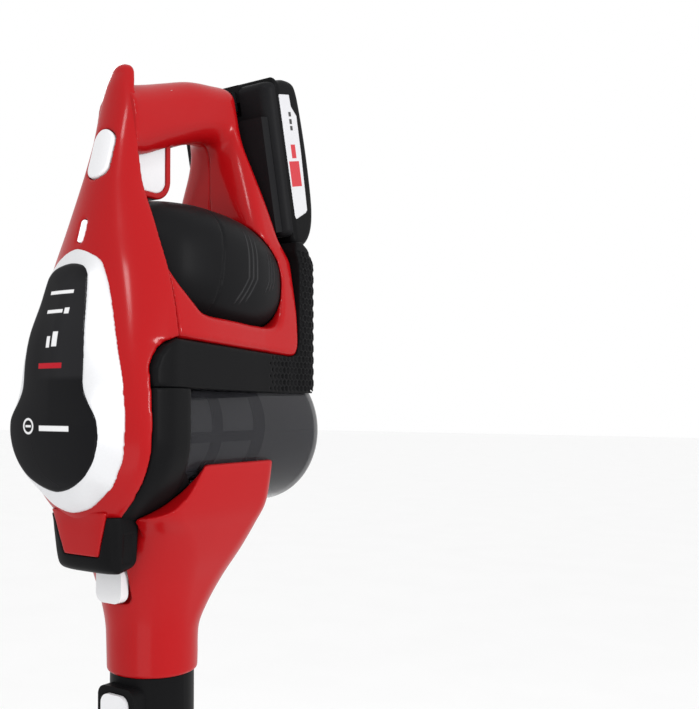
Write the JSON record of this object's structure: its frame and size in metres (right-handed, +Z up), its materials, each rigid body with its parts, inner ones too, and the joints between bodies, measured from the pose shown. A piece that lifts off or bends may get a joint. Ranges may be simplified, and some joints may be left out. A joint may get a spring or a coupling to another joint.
{
  "type": "cordless stick vacuum cleaner",
  "caption": "Cordless stick vacuum with a red loop-handled hand unit, smoked dust container, clip-in battery, telescopic tube and powered floor nozzle.",
  "frame": {"origin": "middle of the dock slot's mouth in the back of the exhaust housing", "axes": "+Z up along the tube, -Y towards the face plate, +X to the right seen from the front"},
  "size_m": [0.269, 0.2243, 1.2923],
  "materials": {
    "red_shell": "glossy moulded red",
    "bright_trim": "satin plated bevel",
    "black_gloss": "polished black",
    "black_plastic": "fine grained black",
    "charcoal_plastic": "satin charcoal",
    "white_key": "smooth white",
    "light_pipe": "milky light guide",
    "smoked_clear": "smoked clear plastic",
    "label": "printed label stock",
    "rubber": "soft rubber",
    "steel": "brushed steel",
    "tube_metal": "anodised tube",
    "motor_metal": "cast aluminium",
    "board_green": "lacquered circuit board",
    "filter_media": "pleated filter media",
    "bristle_red": "nylon bristles",
    "cell_wrap": "shrink wrap"
  },
  "bodies": {
    "hand_unit": {"front_frame": "red_shell", "trim_bevel": "bright_trim", "face_plate": "black_gloss", "status_light": "light_pipe", "handle_right": "red_shell", "handle_left": "red_shell", "handle_screws": "steel", "trigger_spring": "steel", "trigger_switch": "black_plastic", "control_board": "board_green", "motor_housing": "black_plastic", "motor_stator": "motor_metal", "motor_mounts": "rubber", "exhaust_housing": "black_plastic", "exhaust_grille": "charcoal_plastic", "exhaust_filter": "filter_media", "filter_seat": "black_plastic", "seat_seal": "rubber", "latch_hook": "black_plastic", "latch_insert": "red_shell", "battery_rails": "charcoal_plastic", "filter_cage": "charcoal_plastic", "filter_mesh": "steel"},
    "turbo_key": {"turbo_button": "white_key"},
    "trigger_lever": {"trigger": "white_key", "trigger_shoe": "red_shell"},
    "fan": {"motor_shaft": "steel", "impeller": "charcoal_plastic"},
    "filter_core": {"pleated_filter": "filter_media", "clean_knob": "charcoal_plastic"},
    "battery": {"battery_case": "black_plastic", "battery_cover": "charcoal_plastic", "battery_cells": "cell_wrap", "battery_label": "label"},
    "battery_key": {"battery_latch": "charcoal_plastic"},
    "container": {"container_bowl": "smoked_clear", "suction_neck": "red_shell"},
    "container_key": {"container_button": "white_key"},
    "flap": {"inlet_flap": "rubber"},
    "upper_tube": {"tube_outer": "black_plastic", "tube_clamp": "black_plastic"},
    "tube_key": {"tube_button": "white_key"},
    "lower_tube": {"tube_inner": "tube_metal"},
    "socket": {"nozzle_socket": "black_plastic"},
    "socket_key": {"nozzle_button": "white_key"},
    "elbow": {"swivel_yoke": "charcoal_plastic"},
    "floor_nozzle": {"nozzle_base": "black_plastic", "nozzle_cover": "red_shell", "nozzle_lens": "light_pipe", "nozzle_bumper": "rubber", "nozzle_motor": "motor_metal"},
    "brush_roll": {"brush_core": "charcoal_plastic", "brush_bristles": "bristle_red"},
    "end_cap": {"brush_cap": "charcoal_plastic"},
    "wheel_r": {"wheel_right": "rubber"},
    "wheel_l": {"wheel_left": "rubber"}
  },
  "joints": [
    {"name": "trigger_pull", "type": "slide", "parent": "hand_unit", "child": "trigger_lever", "axis": [0, 0, 1], "range_m": [0, 0.006], "stiffness_N_per_m": 300, "springref_m": -0.004, "deforming": ["trigger_spring"]},
    {"name": "turbo_press", "type": "slide", "parent": "hand_unit", "child": "turbo_key", "axis": [0, 0.9524, -0.3048], "range_m": [0, 0.0015], "stiffness_N_per_m": 300, "springref_m": -0.002},
    {"name": "fan_spin", "type": "hinge", "parent": "hand_unit", "child": "fan", "pos_m": [0, -0.091, 0.029], "axis": [0, 1, 0], "continuous": true},
    {"name": "filter_turn", "type": "hinge", "parent": "hand_unit", "child": "filter_core", "pos_m": [0, -0.101, -0.07], "axis": [0, 1, 0], "continuous": true},
    {"name": "battery_slide", "type": "slide", "parent": "hand_unit", "child": "battery", "axis": [0, -0.225, 0.9744], "range_m": [0, 0.115]},
    {"name": "battery_key_press", "type": "slide", "parent": "battery", "child": "battery_key", "axis": [0, 0.225, -0.9744], "range_m": [0, 0.002], "stiffness_N_per_m": 400, "springref_m": -0.002},
    {"name": "container_off", "type": "slide", "parent": "hand_unit", "child": "container", "axis": [0, 1, 0], "range_m": [0, 0.165]},
    {"name": "container_key_press", "type": "slide", "parent": "container", "child": "container_key", "axis": [0, 1, 0], "range_m": [0, 0.002], "stiffness_N_per_m": 300, "springref_m": -0.002},
    {"name": "flap_swing", "type": "hinge", "parent": "container", "child": "flap", "pos_m": [0, -0.128, -0.1154], "axis": [1, 0, 0], "range_deg": [0, 12]},
    {"name": "tube_off", "type": "slide", "parent": "container", "child": "upper_tube", "axis": [0, 0, -1], "range_m": [0, 0.06]},
    {"name": "tube_key_press", "type": "slide", "parent": "upper_tube", "child": "tube_key", "axis": [0, 1, 0], "range_m": [0, 0.002], "stiffness_N_per_m": 300, "springref_m": -0.002},
    {"name": "tube_retract", "type": "slide", "parent": "upper_tube", "child": "lower_tube", "axis": [0, 0, 1], "range_m": [0, 0.17]},
    {"name": "nozzle_off", "type": "slide", "parent": "lower_tube", "child": "socket", "axis": [0, 0, -1], "range_m": [0, 0.06]},
    {"name": "nozzle_key_press", "type": "slide", "parent": "socket", "child": "socket_key", "axis": [0, 1, 0], "range_m": [0, 0.0012], "stiffness_N_per_m": 300, "springref_m": -0.002},
    {"name": "nozzle_swivel", "type": "hinge", "parent": "socket", "child": "elbow", "pos_m": [0, -0.121, -1.038], "axis": [0, 1, 0], "range_deg": [-45, 45]},
    {"name": "nozzle_tilt", "type": "hinge", "parent": "elbow", "child": "floor_nozzle", "pos_m": [0, -0.121, -1.082], "axis": [1, 0, 0], "range_deg": [0, 60]},
    {"name": "brush_spin", "type": "hinge", "parent": "floor_nozzle", "child": "brush_roll", "pos_m": [0, -0.179, -1.0965], "axis": [1, 0, 0], "continuous": true},
    {"name": "end_cap_off", "type": "slide", "parent": "floor_nozzle", "child": "end_cap", "axis": [1, 0, 0], "range_m": [0, 0.016]},
    {"name": "wheel_r_spin", "type": "hinge", "parent": "floor_nozzle", "child": "wheel_r", "pos_m": [0.052, -0.091, -1.108], "axis": [1, 0, 0], "continuous": true},
    {"name": "wheel_l_spin", "type": "hinge", "parent": "floor_nozzle", "child": "wheel_l", "pos_m": [-0.052, -0.091, -1.108], "axis": [1, 0, 0], "continuous": true}
  ]
}
